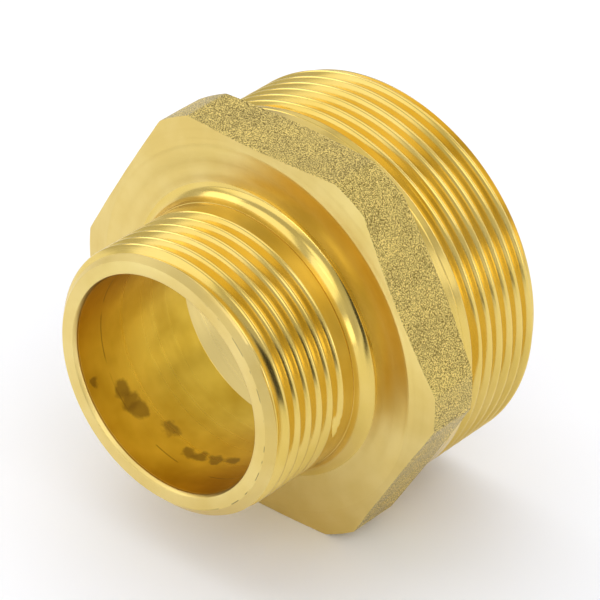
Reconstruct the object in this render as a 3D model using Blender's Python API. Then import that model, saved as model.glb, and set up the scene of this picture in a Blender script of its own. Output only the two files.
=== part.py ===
"""Brass reducing hex nipple: a G 1 1/4 male thread, a 60 mm hexagon and a G 2 male thread, turned from one
forging, with a stepped bore right through it. The bore runs along Y, with the small thread at -Y, and the
origin is on the bore's axis, halfway between the two end faces."""

import math

import bmesh
import bpy
from mathutils import Vector

MM = 0.001

# ISO 228 pipe threads: both have eleven threads to the inch and the 55 degree Whitworth form
PITCH = 25.4 / 11 * MM
THREAD_DEPTH = 0.640327 * PITCH
FLANK_ANGLE = math.radians(27.5)
SMALL_THREAD_RADIUS = 41.91 / 2 * MM
LARGE_THREAD_RADIUS = 59.614 / 2 * MM

# Lengths along the bore, from the small thread's mouth to the large thread's
SMALL_THREAD_LENGTH = 15.3 * MM
SMALL_COLLAR_LENGTH = 1.7 * MM
FILLET_LENGTH = 2.5 * MM
HEX_WIDTH = 10.0 * MM
LARGE_COLLAR_LENGTH = 1.4 * MM
LARGE_THREAD_LENGTH = 17.6 * MM

# Radial steps outside, and how far each face of the hexagon falls back per length outwards
SMALL_COLLAR_OVER_THREAD = 0.06 * MM
LARGE_COLLAR_OVER_THREAD = 0.09 * MM
FILLET_HEIGHT = 2.1 * MM
HEX_OVER_THREAD = 0.193 * MM
CORNER_OVER_FLAT = 3.0 * MM
FACE_INSIDE_FLAT = 1.1 * MM
FRONT_FALL = 0.15
REAR_FALL = 0.22
CHAMFER_BELOW_ROOT = 0.18 * MM

# The stepped bore
SMALL_WALL = 2.476 * MM
LARGE_WALL = 3.028 * MM
STEP_BEHIND_HEX_FACE = 3.9 * MM
STEP_LENGTH = 4.8 * MM
SMALL_MOUTH_WIDENING = 0.35 * MM
SMALL_MOUTH_LENGTH = 0.7 * MM
LARGE_MOUTH_CHAMFER = 1.0 * MM

# How finely round shapes are cut, and how far a cutting shape runs past what it cuts
THREAD_SEGMENTS = 48
TURNED_SEGMENTS = 72
FILLET_STEPS = 5
OVERRUN = 2.0 * MM
BITE = 0.5 * MM

# Places and radii that follow from the sizes above
SMALL_ROOT_RADIUS = SMALL_THREAD_RADIUS - THREAD_DEPTH
LARGE_ROOT_RADIUS = LARGE_THREAD_RADIUS - THREAD_DEPTH
SMALL_BORE_RADIUS = SMALL_ROOT_RADIUS - SMALL_WALL
LARGE_BORE_RADIUS = LARGE_ROOT_RADIUS - LARGE_WALL
SMALL_COLLAR_RADIUS = SMALL_THREAD_RADIUS + SMALL_COLLAR_OVER_THREAD
LARGE_COLLAR_RADIUS = LARGE_THREAD_RADIUS + LARGE_COLLAR_OVER_THREAD
SMALL_COLLAR_END = SMALL_THREAD_LENGTH + SMALL_COLLAR_LENGTH
HEX_FRONT = SMALL_COLLAR_END + FILLET_LENGTH
HEX_REAR = HEX_FRONT + HEX_WIDTH
LARGE_COLLAR_END = HEX_REAR + LARGE_COLLAR_LENGTH
LENGTH = LARGE_COLLAR_END + LARGE_THREAD_LENGTH
MIDDLE = LENGTH / 2
HALF_ACROSS_FLATS = LARGE_THREAD_RADIUS + HEX_OVER_THREAD
SHARP_CORNER_RADIUS = HALF_ACROSS_FLATS / math.cos(math.pi / 6)

BRASS_COLOUR = (0.76, 0.56, 0.22, 1.0)
BRASS_ROUGHNESS = 0.32


def clear_scene():
    for thing in list(bpy.data.objects):
        bpy.data.objects.remove(thing)


def point_at(angle, radius, position):
    """A point at an angle from +Z towards +X, and at a distance from the small thread's mouth."""
    return Vector((radius * math.sin(angle), position - MIDDLE, radius * math.cos(angle)))


def new_object(name, shape):
    bmesh.ops.recalc_face_normals(shape, faces=shape.faces)
    mesh = bpy.data.meshes.new(name)
    shape.to_mesh(mesh)
    shape.free()
    thing = bpy.data.objects.new(name, mesh)
    bpy.context.scene.collection.objects.link(thing)
    thing.modifiers.new("triangles", "TRIANGULATE")
    return thing


def as_helper(thing):
    """Marks an object that only shapes the nipple."""
    thing.hide_render = True
    thing.display_type = "WIRE"
    return thing


def combine(thing, operation, other):
    """Adds a Boolean. Its result is split into triangles, because the next Boolean needs faces that are flat."""
    boolean = thing.modifiers.new(other.name, "BOOLEAN")
    boolean.operation = operation
    boolean.solver = "EXACT"
    boolean.object = other
    thing.modifiers.new("triangles", "TRIANGULATE")


def turned(name, outline):
    """Solid of revolution about the bore's axis, from (position, radius) pairs that run from -Y to +Y."""
    shape = bmesh.new()
    angles = [2 * math.pi * step / TURNED_SEGMENTS for step in range(TURNED_SEGMENTS)]
    rings = []
    for position, radius in outline:
        rings.append([shape.verts.new(point_at(angle, radius, position)) for angle in angles])
    for near, far in zip(rings, rings[1:]):
        for step in range(TURNED_SEGMENTS):
            shape.faces.new((near[step - 1], near[step], far[step], far[step - 1]))
    shape.faces.new(rings[0])
    shape.faces.new(rings[-1])
    return new_object(name, shape)


def thread_profile(radius):
    """One pitch of the thread as (position, radius): a crest, a flank, a root and the next flank's start."""
    flank = THREAD_DEPTH * math.tan(FLANK_ANGLE)
    flat = PITCH / 2 - flank
    root = radius - THREAD_DEPTH
    return ((0.0, radius), (flat, radius), (flat + flank, root), (flat + flank + flat, root))


def threaded_rod(name, radius, start, end):
    """Right-hand threaded rod that reaches at least from start to end. Its side is a grid that climbs one
    pitch in each turn, so the last column meets the first one pitch further on."""
    shape = bmesh.new()
    profile = thread_profile(radius)
    rows = len(profile)
    turns = math.ceil((end - start) / PITCH) + 2
    columns = []
    for step in range(THREAD_SEGMENTS):
        share = step / THREAD_SEGMENTS
        count = (turns + 1 if step == 0 else turns) * rows + 1
        column = []
        for row in range(count):
            along, height = profile[row % rows]
            position = start + PITCH * (row // rows + share - 1) + along
            column.append(shape.verts.new(point_at(2 * math.pi * share, height, position)))
        columns.append(column)
    columns.append(columns[0][rows:])
    for left, right in zip(columns, columns[1:]):
        for row in range(turns * rows):
            shape.faces.new((left[row], right[row], right[row + 1], left[row + 1]))
    for last_row, middle in ((0, start), (turns * rows, start + PITCH * turns)):
        rim = [column[last_row] for column in columns]
        rim += [columns[0][last_row + row] for row in range(rows - 1, 0, -1)]
        centre = shape.verts.new(point_at(0.0, 0.0, middle))
        for index in range(len(rim)):
            shape.faces.new((rim[index - 1], rim[index], centre))
    return new_object(name, shape)


def small_thread():
    """Threaded small end, chamfered at its mouth."""
    mouth_radius = SMALL_ROOT_RADIUS - CHAMFER_BELOW_ROOT
    outside = SMALL_THREAD_RADIUS + BITE
    end = SMALL_THREAD_LENGTH + BITE
    outline = ((0.0, mouth_radius), (outside - mouth_radius, outside), (end, outside))
    rod = as_helper(threaded_rod("small_rod", SMALL_THREAD_RADIUS, 0.0, end))
    combine(rod, "INTERSECT", as_helper(turned("small_envelope", outline)))
    return rod


def large_thread():
    """Threaded large end, chamfered at its mouth."""
    mouth_radius = LARGE_ROOT_RADIUS - CHAMFER_BELOW_ROOT
    outside = LARGE_THREAD_RADIUS + BITE
    start = LARGE_COLLAR_END - BITE
    outline = ((start, outside), (LENGTH - (outside - mouth_radius), outside), (LENGTH, mouth_radius))
    rod = as_helper(threaded_rod("large_rod", LARGE_THREAD_RADIUS, start, LENGTH))
    combine(rod, "INTERSECT", as_helper(turned("large_envelope", outline)))
    return rod


def small_collar():
    """Plain collar behind the small thread, with the fillet that meets the hexagon's face."""
    outline = [(SMALL_THREAD_LENGTH, SMALL_COLLAR_RADIUS)]
    for step in range(FILLET_STEPS + 1):
        turn = math.pi / 2 * step / FILLET_STEPS
        position = SMALL_COLLAR_END + FILLET_LENGTH * math.sin(turn)
        outline.append((position, SMALL_COLLAR_RADIUS + FILLET_HEIGHT * (1 - math.cos(turn))))
    outline.append((HEX_FRONT + BITE, SMALL_COLLAR_RADIUS + FILLET_HEIGHT))
    return as_helper(turned("small_collar", outline))


def large_collar():
    """Plain collar between the hexagon and the large thread."""
    outline = ((HEX_REAR - BITE, LARGE_COLLAR_RADIUS), (LARGE_COLLAR_END, LARGE_COLLAR_RADIUS))
    return as_helper(turned("large_collar", outline))


def hexagon(name):
    """Six-sided prism with one flat straight down."""
    shape = bmesh.new()
    angles = [math.pi / 6 + math.pi / 3 * corner for corner in range(6)]
    rims = []
    for position in (HEX_FRONT - BITE, HEX_REAR + BITE):
        rims.append([shape.verts.new(point_at(angle, SHARP_CORNER_RADIUS, position)) for angle in angles])
    near, far = rims
    for corner in range(6):
        shape.faces.new((near[corner - 1], near[corner], far[corner], far[corner - 1]))
    shape.faces.new(near)
    shape.faces.new(far)
    return new_object(name, shape)


def hexagon_envelope():
    """Turned shape that cuts the hexagon's corners to a circle and lets its faces fall back towards them."""
    face_radius = HALF_ACROSS_FLATS - FACE_INSIDE_FLAT
    corner_radius = HALF_ACROSS_FLATS + CORNER_OVER_FLAT
    width = corner_radius - face_radius
    outline = (
        (HEX_FRONT, face_radius),
        (HEX_FRONT + FRONT_FALL * width, corner_radius),
        (HEX_REAR - REAR_FALL * width, corner_radius),
        (HEX_REAR, face_radius),
    )
    return as_helper(turned("hexagon_envelope", outline))


def bore():
    """Stepped bore, wider at the large thread, with both of its mouths chamfered."""
    slope = SMALL_MOUTH_WIDENING / SMALL_MOUTH_LENGTH
    step_start = HEX_FRONT + STEP_BEHIND_HEX_FACE
    outline = (
        (-OVERRUN, SMALL_BORE_RADIUS + SMALL_MOUTH_WIDENING + OVERRUN * slope),
        (SMALL_MOUTH_LENGTH, SMALL_BORE_RADIUS),
        (step_start, SMALL_BORE_RADIUS),
        (step_start + STEP_LENGTH, LARGE_BORE_RADIUS),
        (LENGTH - LARGE_MOUTH_CHAMFER, LARGE_BORE_RADIUS),
        (LENGTH + OVERRUN, LARGE_BORE_RADIUS + LARGE_MOUTH_CHAMFER + OVERRUN),
    )
    return as_helper(turned("bore", outline))


def brass():
    material = bpy.data.materials.new("brass")
    material.use_nodes = True
    shader = material.node_tree.nodes["Principled BSDF"]
    shader.inputs["Base Color"].default_value = BRASS_COLOUR
    shader.inputs["Metallic"].default_value = 1.0
    shader.inputs["Roughness"].default_value = BRASS_ROUGHNESS
    return material


def nipple_body():
    body = hexagon("nipple_body")
    combine(body, "INTERSECT", hexagon_envelope())
    combine(body, "UNION", small_collar())
    combine(body, "UNION", small_thread())
    combine(body, "UNION", large_collar())
    combine(body, "UNION", large_thread())
    combine(body, "DIFFERENCE", bore())
    body.data.materials.append(brass())
    body.data.shade_smooth()
    body.data.set_sharp_from_angle(angle=math.radians(25))
    return body


clear_scene()
nipple_body()
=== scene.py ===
"""Looks of the brass reducing hex nipple: one finely machined body with rounded threads, its brass, a pale
table, soft studio light and the camera."""

import math

import bmesh
import bpy
from mathutils import Matrix, Vector, noise


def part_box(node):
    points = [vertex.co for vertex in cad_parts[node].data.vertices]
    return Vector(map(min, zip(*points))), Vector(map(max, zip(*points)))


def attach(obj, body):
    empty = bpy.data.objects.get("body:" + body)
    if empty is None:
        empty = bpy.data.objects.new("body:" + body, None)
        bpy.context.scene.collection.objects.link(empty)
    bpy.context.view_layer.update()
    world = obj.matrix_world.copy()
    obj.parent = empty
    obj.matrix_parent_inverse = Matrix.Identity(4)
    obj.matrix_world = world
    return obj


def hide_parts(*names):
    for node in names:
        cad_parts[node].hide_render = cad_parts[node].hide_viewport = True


MM = 0.001
TURN = 2 * math.pi

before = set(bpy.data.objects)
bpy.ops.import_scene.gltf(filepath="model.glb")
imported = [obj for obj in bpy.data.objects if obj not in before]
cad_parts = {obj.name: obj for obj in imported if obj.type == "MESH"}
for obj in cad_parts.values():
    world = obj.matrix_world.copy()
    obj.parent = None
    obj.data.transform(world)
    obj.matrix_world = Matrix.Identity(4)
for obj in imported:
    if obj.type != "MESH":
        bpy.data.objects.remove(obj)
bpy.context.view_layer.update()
LOW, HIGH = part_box("nipple_body")

# Lengths along the bore, from the small thread's mouth, as in the CAD model
LENGTH = HIGH[1] - LOW[1]
SMALL_THREAD_END = 15.3 * MM
SMALL_COLLAR_END = 17.0 * MM
HEX_FRONT = 19.5 * MM
HEX_REAR = 29.5 * MM
LARGE_COLLAR_END = 30.9 * MM
STEP_START = 23.4 * MM
STEP_END = 28.2 * MM
SMALL_MOUTH_DEPTH = 0.7 * MM
BORE_START = 1.0 * MM
LARGE_MOUTH_CHAMFER = 1.0 * MM

# The threads, which have eleven turns to the inch and the rounded Whitworth form
PITCH = 25.4 / 11 * MM
THREAD_DEPTH = 0.640327 * PITCH
CREST_ROUNDING = 0.137329 * PITCH
FLANK_ANGLE = math.radians(27.5)

# Radii and heights
SMALL_THREAD = 41.91 / 2 * MM
LARGE_THREAD = 59.614 / 2 * MM
END_UNDER_ROOT = 0.18 * MM
SMALL_END = SMALL_THREAD - THREAD_DEPTH - END_UNDER_ROOT
LARGE_END = LARGE_THREAD - THREAD_DEPTH - END_UNDER_ROOT
SMALL_COLLAR = SMALL_THREAD + 0.06 * MM
LARGE_COLLAR = LARGE_THREAD + 0.02 * MM
FILLET_HEIGHT = 2.1 * MM
FLAT = HIGH[2]
CORNER = HIGH[0]
TURNED_FACE = FLAT - 1.1 * MM
SMALL_BORE = 17.0 * MM
SMALL_MOUTH = SMALL_BORE + 0.35 * MM
LARGE_BORE = 25.3 * MM

# Length of the 45 degree chamfer that leads into the small thread
SMALL_LEAD = SMALL_THREAD - SMALL_END

# How far the hexagon's faces fall back for each length outwards from the radius TURNED_FACE. The front one
# falls back slightly more than in the CAD model, about 0.2 mm at the corners, so that it catches the light
FRONT_FALL = 0.2
REAR_FALL = 0.22

# Where the small thread's groove ends: turns from +Z towards +X, and the place of its middle there
RUN_OUT_ANGLE = 0.30
RUN_OUT_PLACE = 13.7 * MM
RUN_OUT_TURNS = 0.03

# Where the large thread's groove starts, in the same way
RUN_IN_ANGLE = 0.55
RUN_IN_PLACE = 31.9 * MM

# Fineness of the mesh
COLUMNS_PER_HALF_FLAT = 30
ROWS_ON_FLAT = 24
ARC_STEPS = 3
FILLET_STEPS = 10
EDGE = 0.12 * MM
MERGE = 0.0001 * MM

# Colours of the brass where it is cut, bored (deeper, with painted shade), darkened along the small rim,
# stained and forged
THREAD_LIGHT = (0.80, 0.60, 0.18, 1.0)
THREAD_DARK = (0.74, 0.54, 0.13, 1.0)
FACE_LIGHT = (0.82, 0.64, 0.24, 1.0)
FACE_DARK = (0.74, 0.55, 0.17, 1.0)
# The small bore's two colours are deepened by painted shade of the tube's inside
BORE_LIGHT_PAINTED_SHADE = (0.74, 0.49, 0.055, 1.0)
BORE_DARK_PAINTED_SHADE = (0.52, 0.31, 0.02, 1.0)
DARK_RIM_COLOUR = (0.16, 0.11, 0.04, 1.0)
STAIN = (0.24, 0.14, 0.02, 1.0)
FORGED_DARK = (0.18, 0.125, 0.025, 1.0)
FORGED_LIGHT = (0.90, 0.70, 0.22, 1.0)

# Noise scales of the turned brass, in features per metre, and the depth of its tool marks
RINGS_FINE = 5200.0
RINGS_BROAD = 900.0
CLOUDS = 110.0
MARK_DEPTH = 0.02 * MM

# How much the radius counts beside the place along the bore, so that faces and cylinders both get rings
RING_SLANT = 0.83

# Patchy dark band along the small end's rim, which starts at one place across the nipple and is full at
# another
DARK_RIM_BAND = 0.1 * MM
DARK_RIM_PATCHES = 420.0
DARK_RIM_START = 6 * MM
DARK_RIM_FULL = 14 * MM

# Dried stains in the bore as degrees from +Z towards +X, place along it and size
STAINS = (
    (-116, 2.2 * MM, 0.9 * MM),
    (-126, 6.6 * MM, 1.7 * MM),
    (-133, 6.9 * MM, 2.0 * MM),
    (-139, 7.4 * MM, 1.8 * MM),
    (-155, 9.8 * MM, 1.7 * MM),
    (-172, 8.5 * MM, 1.4 * MM),
    (-178, 8.9 * MM, 1.4 * MM),
    (174, 9.8 * MM, 1.3 * MM),
    (167, 10.8 * MM, 1.3 * MM),
)

# How far a stain's outline wanders, and the scale of the noise that it wanders by
STAIN_RAGGEDNESS = 2.4 * MM
STAIN_EDGE = 600.0

# Broken dark line that the boring tool left
BORE_LINE = 5.6 * MM
BORE_LINE_WIDTH = 0.3 * MM
BORE_LINE_BREAKS = 160.0

# Unevenness of the forged flats in the mesh, and their grain and patches as noise scales
FORGED_WAVE = 4.0 * MM
FORGED_HEIGHT = 0.05 * MM
FORGED_GRAIN = 6200.0
FORGED_PATCHES = 260.0
GRAIN_DEPTH = 0.1 * MM

# Places of the four materials on the piece
THREAD_SLOT, FACE_SLOT, BORE_SLOT, FORGED_SLOT = range(4)


def column_angles():
    """Angles from +Z towards +X for one turn, closer together at the hexagon's corners."""
    half = []
    for step in range(COLUMNS_PER_HALF_FLAT):
        share = step / COLUMNS_PER_HALF_FLAT
        half.append(math.pi / 6 * (share + math.sin(share * math.pi / 2)) / 2)
    angles = []
    for flat in range(6):
        middle = math.pi / 3 * flat
        angles += [middle + angle for angle in half]
        angles += [middle + math.pi / 3 - angle for angle in [math.pi / 6] + half[:0:-1]]
    return angles + [TURN]


ANGLES = column_angles()


def rounded(corners):
    """The outline with a small arc at each inner corner. A corner is (place along the bore, radius)."""
    corners = [Vector(corner) for corner in corners]
    points = [corners[0]]
    for before, corner, after in zip(corners, corners[1:], corners[2:]):
        back = before - corner
        ahead = after - corner
        reach = min(EDGE, 0.45 * back.length, 0.45 * ahead.length)
        start = corner + back.normalized() * reach
        end = corner + ahead.normalized() * reach
        for step in range(ARC_STEPS + 1):
            share = step / ARC_STEPS
            points.append(start.lerp(corner, share).lerp(corner.lerp(end, share), share))
    return points + [corners[-1]]


class Skin:
    """The body's surface, made of strips that each go once round the bore."""

    def __init__(self):
        self.shape = bmesh.new()

    def add(self, outline_at, slot):
        """Adds the strip whose outline at an angle is a list of (place, radius)."""
        columns = []
        for angle in ANGLES:
            column = []
            for place, radius in outline_at(angle):
                point = (radius * math.sin(angle), LOW[1] + place, radius * math.cos(angle))
                column.append(self.shape.verts.new(point))
            columns.append(column)
        for left, right in zip(columns, columns[1:]):
            for row in range(len(left) - 1):
                face = self.shape.faces.new((left[row], right[row], right[row + 1], left[row + 1]))
                face.material_index = slot
                face.smooth = True

    def finished(self, name):
        bmesh.ops.remove_doubles(self.shape, verts=self.shape.verts, dist=MERGE)
        bmesh.ops.recalc_face_normals(self.shape, faces=self.shape.faces)
        mesh = bpy.data.meshes.new(name)
        self.shape.to_mesh(mesh)
        self.shape.free()
        mesh.set_sharp_from_angle(angle=math.radians(40))
        piece = bpy.data.objects.new(name, mesh)
        bpy.context.scene.collection.objects.link(piece)
        return piece


def thread_depth_at(turns):
    """How far under the crest a rounded Whitworth thread lies, this many pitches along from a crest."""
    offset = abs(turns - round(turns)) * PITCH
    from_root = PITCH / 2 - offset
    arc = CREST_ROUNDING * math.cos(FLANK_ANGLE)
    if offset < arc:
        return CREST_ROUNDING - math.sqrt(CREST_ROUNDING**2 - offset**2)
    if from_root < arc:
        return THREAD_DEPTH - CREST_ROUNDING + math.sqrt(CREST_ROUNDING**2 - from_root**2)
    return CREST_ROUNDING * (1 - math.sin(FLANK_ANGLE)) + (offset - arc) / math.tan(FLANK_ANGLE)


def rows_in_pitch():
    """Where one pitch's rows lie, in pitches from a crest: five on each rounding and one on each flank."""
    arc = []
    for step in (-2, -1, 0, 1, 2):
        arc.append(CREST_ROUNDING / PITCH * math.sin((math.pi / 2 - FLANK_ANGLE) * step / 2))
    return arc + [0.25] + [0.5 + place for place in arc] + [0.75]


def thread_places(angle, crest, start, end):
    """Places of all rows at this angle. Rows climb one pitch a turn and stop at the strip's two ends."""
    share = angle / TURN
    first = math.floor((start - crest) / PITCH) - 2
    last = math.ceil((end - crest) / PITCH) + 1
    for pitch in range(first, last):
        for row in rows_in_pitch():
            yield min(max(crest + (pitch + row + share) * PITCH, start), end)


def thread_rows(angle, crest, start, end, turns_inside):
    """Each row's place and depth under the crest. turns_inside says how far it is from the groove's end."""
    share = angle / TURN
    for place in thread_places(angle, crest, start, end):
        turns = (place - crest) / PITCH - share
        along = math.floor(turns) + share
        grooved = min(max(turns_inside(along) / RUN_OUT_TURNS, 0.0), 1.0)
        yield place, max(thread_depth_at(turns) - (1 - grooved) * THREAD_DEPTH, 0.0)


def small_thread_between(angle, start, end):
    """Outline of part of the small thread, whose groove runs out near the collar, chamfered at its end."""
    crest = RUN_OUT_PLACE - (RUN_OUT_ANGLE + 0.5) * PITCH
    rows = thread_rows(angle, crest, start, end, lambda along: RUN_OUT_ANGLE - along)
    return [(place, min(SMALL_THREAD - depth, SMALL_END + place)) for place, depth in rows]


def small_lead(angle):
    """Outline of the chamfer that leads into the small thread."""
    return small_thread_between(angle, 0.0, SMALL_LEAD)


def small_thread(angle):
    """Outline of the small thread from its chamfer to its collar."""
    return small_thread_between(angle, SMALL_LEAD, SMALL_THREAD_END)


def large_thread(angle):
    """Outline of the large thread, whose groove starts behind the collar, chamfered at its end."""
    crest = RUN_IN_PLACE - (RUN_IN_ANGLE + 0.5) * PITCH
    rows = thread_rows(angle, crest, LARGE_COLLAR_END + EDGE, LENGTH, lambda along: along - RUN_IN_ANGLE)
    return [(place, min(LARGE_THREAD - depth, LARGE_END + LENGTH - place)) for place, depth in rows]


def hexagon_radius(angle, place):
    """Distance from the bore's axis to the hexagon's side, with its corners cut and a forged unevenness."""
    from_flat = abs((angle + math.pi / 6) % (math.pi / 3) - math.pi / 6)
    radius = min(FLAT / math.cos(from_flat), CORNER)
    spot = Vector((radius * math.sin(angle), place, radius * math.cos(angle))) / FORGED_WAVE
    return radius - FORGED_HEIGHT * (1 + noise.noise(spot))


def small_collar(angle):
    """Outline of the collar behind the small thread, with its thin groove and its fillet."""
    corners = [
        (SMALL_THREAD_END, SMALL_THREAD),
        (SMALL_COLLAR_END - EDGE, SMALL_THREAD),
        (SMALL_COLLAR_END - EDGE / 2, SMALL_THREAD - EDGE),
        (SMALL_COLLAR_END, SMALL_COLLAR),
    ]
    for step in range(1, FILLET_STEPS + 1):
        turn = math.pi / 2 * step / FILLET_STEPS
        height = SMALL_COLLAR + FILLET_HEIGHT * (1 - math.cos(turn))
        corners.append((SMALL_COLLAR_END + (HEX_FRONT - SMALL_COLLAR_END) * math.sin(turn), height))
    return corners


def front_of_hexagon(angle):
    """Outline of the hexagon's turned front face, which falls back outside a circle."""
    edge = hexagon_radius(angle, HEX_FRONT)
    edge_place = HEX_FRONT + FRONT_FALL * (edge - TURNED_FACE)
    return [
        (HEX_FRONT, SMALL_COLLAR + FILLET_HEIGHT),
        (HEX_FRONT, TURNED_FACE - EDGE),
        (HEX_FRONT, TURNED_FACE),
        (HEX_FRONT + FRONT_FALL * EDGE, TURNED_FACE + EDGE),
        (edge_place, edge),
    ]


def side_of_hexagon(angle):
    """Outline of the hexagon's forged side, between the edges of its two faces."""
    front = front_of_hexagon(angle)[-1]
    rear = rear_of_hexagon(angle)[0]
    outline = [front]
    for row in range(1, ROWS_ON_FLAT):
        place = front[0] + (rear[0] - front[0]) * row / ROWS_ON_FLAT
        outline.append((place, hexagon_radius(angle, place)))
    return outline + [rear]


def rear_of_hexagon(angle):
    """Outline from the hexagon's side over its rear face to the end of the collar behind it."""
    edge = max(hexagon_radius(angle, HEX_REAR), LARGE_COLLAR + EDGE)
    corners = (
        (HEX_REAR - REAR_FALL * (edge - TURNED_FACE), edge),
        (HEX_REAR - REAR_FALL * (LARGE_COLLAR - TURNED_FACE), LARGE_COLLAR),
        (LARGE_COLLAR_END - EDGE, LARGE_COLLAR),
        (LARGE_COLLAR_END, LARGE_THREAD - EDGE),
        (LARGE_COLLAR_END + EDGE, LARGE_THREAD),
    )
    return rounded(corners)


def small_mouth(angle):
    """Outline of the small end face and the widened edge of its bore."""
    corners = (
        (0.0, SMALL_END),
        (0.0, SMALL_MOUTH),
        (SMALL_MOUTH_DEPTH, SMALL_BORE),
        (BORE_START, SMALL_BORE),
    )
    return rounded(corners)


def bore(angle):
    """Outline of the stepped bore."""
    corners = (
        (BORE_START, SMALL_BORE),
        (STEP_START, SMALL_BORE),
        (STEP_END, LARGE_BORE),
        (LENGTH - 2 * LARGE_MOUTH_CHAMFER, LARGE_BORE),
    )
    return rounded(corners)


def large_mouth(angle):
    """Outline of the chamfered edge of the large bore and the large end face."""
    corners = (
        (LENGTH - 2 * LARGE_MOUTH_CHAMFER, LARGE_BORE),
        (LENGTH - LARGE_MOUTH_CHAMFER, LARGE_BORE),
        (LENGTH, LARGE_BORE + LARGE_MOUTH_CHAMFER),
        (LENGTH, LARGE_END),
    )
    return rounded(corners)


def nipple():
    """The whole nipple as one piece with four kinds of brass surface."""
    skin = Skin()
    skin.add(small_mouth, FACE_SLOT)
    skin.add(small_lead, FACE_SLOT)
    skin.add(small_thread, THREAD_SLOT)
    skin.add(small_collar, THREAD_SLOT)
    skin.add(front_of_hexagon, FACE_SLOT)
    skin.add(side_of_hexagon, FORGED_SLOT)
    skin.add(rear_of_hexagon, THREAD_SLOT)
    skin.add(large_thread, THREAD_SLOT)
    skin.add(large_mouth, FACE_SLOT)
    skin.add(bore, BORE_SLOT)
    piece = skin.finished("nipple")
    for material in (thread_brass(), face_brass(), bore_brass(), forged_brass()):
        piece.data.materials.append(material)
    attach(piece, "root")
    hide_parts("nipple_body")


class Nodes:
    """Short calls for building one material's nodes."""

    def __init__(self, name):
        self.material = bpy.data.materials.new(name)
        self.material.use_nodes = True
        self.tree = self.material.node_tree
        self.shader = self.tree.nodes["Principled BSDF"]

    def add(self, kind, inputs=None, **settings):
        """Adds a node. An input is a value, or the socket that feeds it."""
        node = self.tree.nodes.new(kind)
        for key, value in settings.items():
            setattr(node, key, value)
        for key, value in (inputs or {}).items():
            if isinstance(value, bpy.types.NodeSocket):
                self.tree.links.new(value, node.inputs[key])
            else:
                node.inputs[key].default_value = value
        return node

    def math(self, operation, first, second=0.0):
        return self.add("ShaderNodeMath", {0: first, 1: second}, operation=operation).outputs[0]

    def vector(self, operation, inputs):
        return self.add("ShaderNodeVectorMath", inputs, operation=operation)

    def link(self, socket, name):
        self.tree.links.new(socket, self.shader.inputs[name])

    def range(self, value, low, high, to_low, to_high):
        """Stretches low to high over to_low to to_high, and holds the ends beyond."""
        inputs = {"Value": value, "From Min": low, "From Max": high, "To Min": to_low, "To Max": to_high}
        return self.add("ShaderNodeMapRange", inputs).outputs[0]

    def noise(self, scale, detail=2.0, **inputs):
        inputs = {"Scale": scale, "Detail": detail, **inputs}
        return self.add("ShaderNodeTexNoise", inputs).outputs["Fac"]

    def mix(self, share, first, second):
        """Colour between the first and the second, by the share of the second."""
        mixer = self.add("ShaderNodeMix", data_type="RGBA")
        for index, value in ((0, share), (6, first), (7, second)):
            if isinstance(value, bpy.types.NodeSocket):
                self.tree.links.new(value, mixer.inputs[index])
            else:
                mixer.inputs[index].default_value = value
        return mixer.outputs[2]


class Turned(Nodes):
    """Brass cut on a lathe: tool marks run round the bore, so its gloss is spread across them."""

    def __init__(self, name, light, dark, roughness, marks, gloss_spread):
        super().__init__(name)
        self.point = self.add("ShaderNodeTexCoord").outputs["Object"]
        self.across, self.along, up = self.add("ShaderNodeSeparateXYZ", {0: self.point}).outputs
        squares = self.math("MULTIPLY", self.across, self.across), self.math("MULTIPLY", up, up)
        self.radius = self.math("SQRT", self.math("ADD", *squares))
        outline = self.math("ADD", self.math("MULTIPLY", self.radius, RING_SLANT), self.along)
        fine = self.rings(outline, RINGS_FINE)
        broad = self.rings(outline, RINGS_BROAD)
        clouds = self.range(self.noise(CLOUDS, 3.0, Vector=self.point), 0.35, 0.65, 0.0, 1.0)
        self.colour = self.mix(clouds, light, dark)
        self.link(self.range(broad, 0.3, 0.7, *roughness), "Roughness")
        self.shader.inputs["Metallic"].default_value = 1.0
        self.shader.inputs["Anisotropic"].default_value = gloss_spread
        tangent = self.add("ShaderNodeTangent", direction_type="RADIAL", axis="Y")
        self.link(tangent.outputs[0], "Tangent")
        height = self.math("ADD", self.math("MULTIPLY", fine, 0.6), broad)
        bump = self.add("ShaderNodeBump", {"Height": height, "Strength": marks, "Distance": MARK_DEPTH})
        self.link(bump.outputs[0], "Normal")

    def rings(self, outline, scale):
        """Noise that only changes along the outline, so that it is the same all the way round."""
        inputs = {"W": outline, "Scale": scale, "Detail": 3.0}
        return self.add("ShaderNodeTexNoise", inputs, noise_dimensions="1D").outputs["Fac"]

    def near(self, value, middle, close, far, strength):
        """The strength where the value is close to the middle, falling to nothing far from it."""
        distance = self.math("ABSOLUTE", self.math("SUBTRACT", value, middle))
        return self.range(distance, close, far, strength, 0.0)

    def finished(self):
        self.link(self.colour, "Base Color")
        return self.material


def thread_brass():
    """Threads, collars and fillet: bright, with faint tool marks."""
    roughness = (0.14, 0.22)
    nodes = Turned("thread_brass", THREAD_LIGHT, THREAD_DARK, roughness, marks=0.15, gloss_spread=0.4)
    return nodes.finished()


def face_brass():
    """End faces and the hexagon's front: clearly brushed, with a patchy dark band along part of the small
    rim.
    """
    roughness = (0.28, 0.4)
    nodes = Turned("face_brass", FACE_LIGHT, FACE_DARK, roughness, marks=0.6, gloss_spread=0.8)
    patches = nodes.range(nodes.noise(DARK_RIM_PATCHES, Vector=nodes.point), 0.5, 0.56, 0.0, 1.0)
    on_rim = nodes.near(nodes.radius, SMALL_END - DARK_RIM_BAND, 0.3 * DARK_RIM_BAND, DARK_RIM_BAND, 0.8)
    on_side = nodes.range(nodes.across, DARK_RIM_START, DARK_RIM_FULL, 0.0, 1.0)
    dark_rim = nodes.math("MULTIPLY", patches, nodes.math("MULTIPLY", on_rim, on_side))
    nodes.colour = nodes.mix(dark_rim, nodes.colour, DARK_RIM_COLOUR)
    return nodes.finished()


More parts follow.
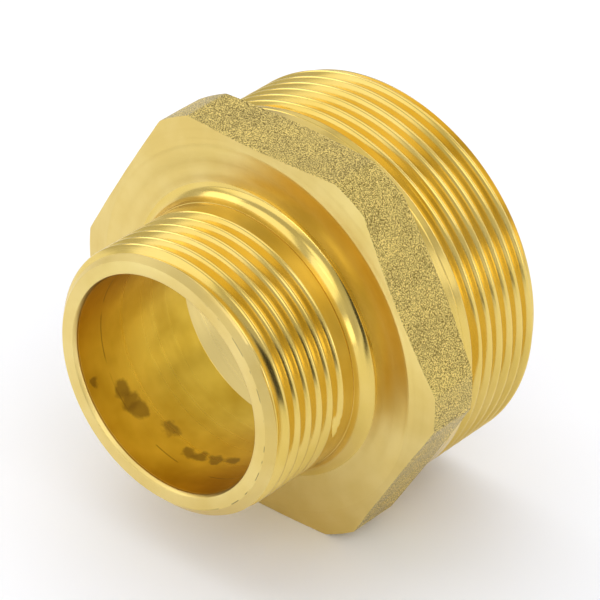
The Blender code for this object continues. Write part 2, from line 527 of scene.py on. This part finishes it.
def bore_brass():
    """Bore: duller, its deeper colour up to its step painted shade of the tube's inside, with dried stains
    and a tool line.
    """
    roughness = (0.26, 0.36)
    nodes = Turned("bore_brass", BORE_LIGHT_PAINTED_SHADE, BORE_DARK_PAINTED_SHADE, roughness, marks=0.35, gloss_spread=0.5)
    # Painted shade: the small bore's deeper colour gives way to the face's brass past the step
    past_painted_shade = nodes.range(nodes.along, LOW[1] + STEP_START, LOW[1] + STEP_END, 0.0, 1.0)
    nodes.colour = nodes.mix(past_painted_shade, nodes.colour, FACE_LIGHT)
    ragged = nodes.add("ShaderNodeTexNoise", {"Vector": nodes.point, "Scale": STAIN_EDGE, "Detail": 4.0})
    shift = nodes.vector("SUBTRACT", {0: ragged.outputs["Color"], 1: (0.5, 0.5, 0.5)})
    shift = nodes.vector("SCALE", {0: shift.outputs[0], 3: STAIN_RAGGEDNESS})
    spot = nodes.vector("ADD", {0: nodes.point, 1: shift.outputs[0]})
    for turn, place, size in STAINS:
        turn = math.radians(turn)
        middle = (SMALL_BORE * math.sin(turn), LOW[1] + place, SMALL_BORE * math.cos(turn))
        away = nodes.vector("DISTANCE", {0: spot.outputs[0], 1: middle})
        stained = nodes.range(away.outputs["Value"], 0.6 * size, size, 0.75, 0.0)
        nodes.colour = nodes.mix(stained, nodes.colour, STAIN)
    on_line = nodes.near(nodes.along, LOW[1] + BORE_LINE, 0.3 * BORE_LINE_WIDTH, 0.5 * BORE_LINE_WIDTH, 0.6)
    broken = nodes.range(nodes.noise(BORE_LINE_BREAKS, 1.0, Vector=nodes.point), 0.5, 0.55, 0.0, 1.0)
    nodes.colour = nodes.mix(nodes.math("MULTIPLY", on_line, broken), nodes.colour, STAIN)
    return nodes.finished()


def forged_brass():
    """The hexagon's sides as forged: a fine bright grain with dark pits, a little darker in patches."""
    nodes = Nodes("forged_brass")
    point = nodes.add("ShaderNodeTexCoord").outputs["Object"]
    grain = nodes.noise(FORGED_GRAIN, 1.5, Vector=point)
    patch = nodes.noise(FORGED_PATCHES, 3.0, Vector=point)
    uneven = nodes.math("ADD", grain, nodes.range(patch, 0.3, 0.7, -0.025, 0.025))
    shade = nodes.range(uneven, 0.4, 0.61, 0.0, 1.0)
    nodes.link(nodes.mix(shade, FORGED_DARK, FORGED_LIGHT), "Base Color")
    nodes.shader.inputs["Metallic"].default_value = 1.0
    nodes.link(nodes.range(patch, 0.3, 0.7, 0.34, 0.48), "Roughness")
    bump = nodes.add("ShaderNodeBump", {"Height": grain, "Strength": 1.0, "Distance": GRAIN_DEPTH})
    nodes.link(bump.outputs[0], "Normal")
    return nodes.material


# The table that the nipple lies on
TABLE_SIZE = 6.0
TABLE_COLOUR = (0.95, 0.96, 1.0, 1.0)
TABLE_ROUGHNESS = 0.6


def table():
    bpy.ops.mesh.primitive_plane_add(size=TABLE_SIZE, location=(0.0, 0.0, LOW[2]))
    floor = bpy.context.object
    floor.name = "table"
    nodes = Nodes("table_white")
    nodes.shader.inputs["Base Color"].default_value = TABLE_COLOUR
    nodes.shader.inputs["Roughness"].default_value = TABLE_ROUGHNESS
    floor.data.materials.append(nodes.material)


# Sheets in front of the nipple that only its brass reflects: two black ones are painted dark reflections
# that give the threads their dark lines, a glowing one is a painted highlight on the hexagon's slanting
# edge. Name, middle, tilt in degrees, size and brightness
PAINTED_REFLECTION_LEVEL = LOW[2] + 1 * MM
PAINTED_REFLECTIONS = (
    ("painted_dark_reflection", (0.055, -0.24, -0.005), 90, (0.14, 0.05), 0.0),
    ("painted_dark_floor_reflection", (0.075, -0.165, PAINTED_REFLECTION_LEVEL), 0, (0.1, 0.13), 0.0),
    ("painted_highlight_floor_glow", (-0.02, -0.13, PAINTED_REFLECTION_LEVEL), 0, (0.05, 0.07), 2.2),
)
# Black of the painted dark reflections, and the glow of the painted highlight
PAINTED_REFLECTION_BLACK = (0.01, 0.01, 0.01, 1.0)
PAINTED_HIGHLIGHT_GLOW = (0.8, 0.95, 1.0, 1.0)


def card(name, middle, tilt, size, brightness):
    """Sheet of painted reflection. The camera doesn't see it, and it casts no light or shadow on the table.
    """
    bpy.ops.mesh.primitive_plane_add(size=1.0, location=middle, rotation=(math.radians(tilt), 0.0, 0.0))
    sheet = bpy.context.object
    sheet.name = name
    sheet.scale = (*size, 1.0)
    sheet.visible_camera = False
    sheet.visible_diffuse = False
    sheet.visible_shadow = False
    nodes = Nodes(name)
    # Black, so that the dark sheets are painted dark reflections
    nodes.shader.inputs["Base Color"].default_value = PAINTED_REFLECTION_BLACK
    nodes.shader.inputs["Roughness"].default_value = 0.9
    # The glow is the painted highlight on the hexagon's slanting edge; the dark sheets have none
    nodes.shader.inputs["Emission Color"].default_value = PAINTED_HIGHLIGHT_GLOW
    nodes.shader.inputs["Emission Strength"].default_value = brightness
    sheet.data.materials.append(nodes.material)


# Soft boxes: azimuth from -Y towards +X and elevation in degrees, size in metres, brightness
LIGHT_DISTANCE = 1.2
SOFT_LIGHTS = (
    ("top_light", 250, 72, (1.2, 1.2), 0.8),
    ("left_light", 270, 32, (1.0, 0.6), 1.35),
    ("front_left_light", 328, 20, (0.9, 0.7), 0.75),
    ("front_right_light", 35, 42, (0.7, 0.5), 1.0),
    ("right_light", 90, 10, (0.7, 0.35), 1.6),
    ("right_top_light", 80, 50, (0.9, 0.7), 1.0),
    ("back_light", 180, 10, (0.9, 0.35), 1.9),
    ("back_top_light", 170, 48, (1.2, 0.7), 0.25),
    ("back_left_light", 232, 28, (0.8, 0.5), 0.35),
    ("back_right_light", 131, 12, (0.7, 0.3), 0.6),
    ("low_front_light", 345, 3, (0.4, 0.12), 2.2),
)
ROOM_COLOUR = (1.0, 1.0, 1.0, 1.0)
ROOM_BRIGHTNESS = 0.62


def way_towards(azimuth, elevation):
    """Unit vector from the nipple at an azimuth and elevation in radians."""
    flat = math.cos(elevation)
    return Vector((math.sin(azimuth) * flat, -math.cos(azimuth) * flat, math.sin(elevation)))


def soft_light(name, azimuth, elevation, size, brightness):
    """Rectangular lamp that faces the nipple, with its brightness given as the radiance of its surface."""
    way = way_towards(math.radians(azimuth), math.radians(elevation))
    data = bpy.data.lights.new(name, "AREA")
    data.shape = "RECTANGLE"
    data.size, data.size_y = size
    data.energy = brightness * math.pi * size[0] * size[1]
    lamp = bpy.data.objects.new(name, data)
    lamp.location = way * LIGHT_DISTANCE
    lamp.rotation_euler = way.to_track_quat("Z", "Y").to_euler()
    lamp.visible_camera = False
    bpy.context.scene.collection.objects.link(lamp)


def studio():
    """A white room with the soft boxes in it."""
    world = bpy.data.worlds.new("studio")
    world.use_nodes = True
    background = world.node_tree.nodes["Background"]
    background.inputs["Color"].default_value = ROOM_COLOUR
    background.inputs["Strength"].default_value = ROOM_BRIGHTNESS
    bpy.context.scene.world = world
    bpy.context.scene.view_settings.view_transform = "Standard"
    for light in SOFT_LIGHTS:
        soft_light(*light)


# The camera, which looks at a point close to the nipple's middle
CAMERA_AZIMUTH = math.radians(40.09)
CAMERA_ELEVATION = math.radians(33.25)
CAMERA_ROLL = math.radians(1.30)
CAMERA_DISTANCE = 0.609
CAMERA_AIM = Vector((2.3, 2.7, 2.6)) * MM
LENS = 253.7
SENSOR = 36.0
NEAREST_SEEN = 0.05


def camera():
    way = way_towards(CAMERA_AZIMUTH, CAMERA_ELEVATION)
    data = bpy.data.cameras.new("camera")
    data.lens = LENS
    data.sensor_width = SENSOR
    data.clip_start = NEAREST_SEEN
    looking = bpy.data.objects.new("camera", data)
    turned = way.to_track_quat("Z", "Y").to_matrix().to_4x4() @ Matrix.Rotation(CAMERA_ROLL, 4, "Z")
    looking.matrix_world = Matrix.Translation(CAMERA_AIM + way * CAMERA_DISTANCE) @ turned
    bpy.context.scene.collection.objects.link(looking)
    bpy.context.scene.camera = looking


nipple()
table()
for entry in PAINTED_REFLECTIONS:
    card(*entry)
studio()
camera()
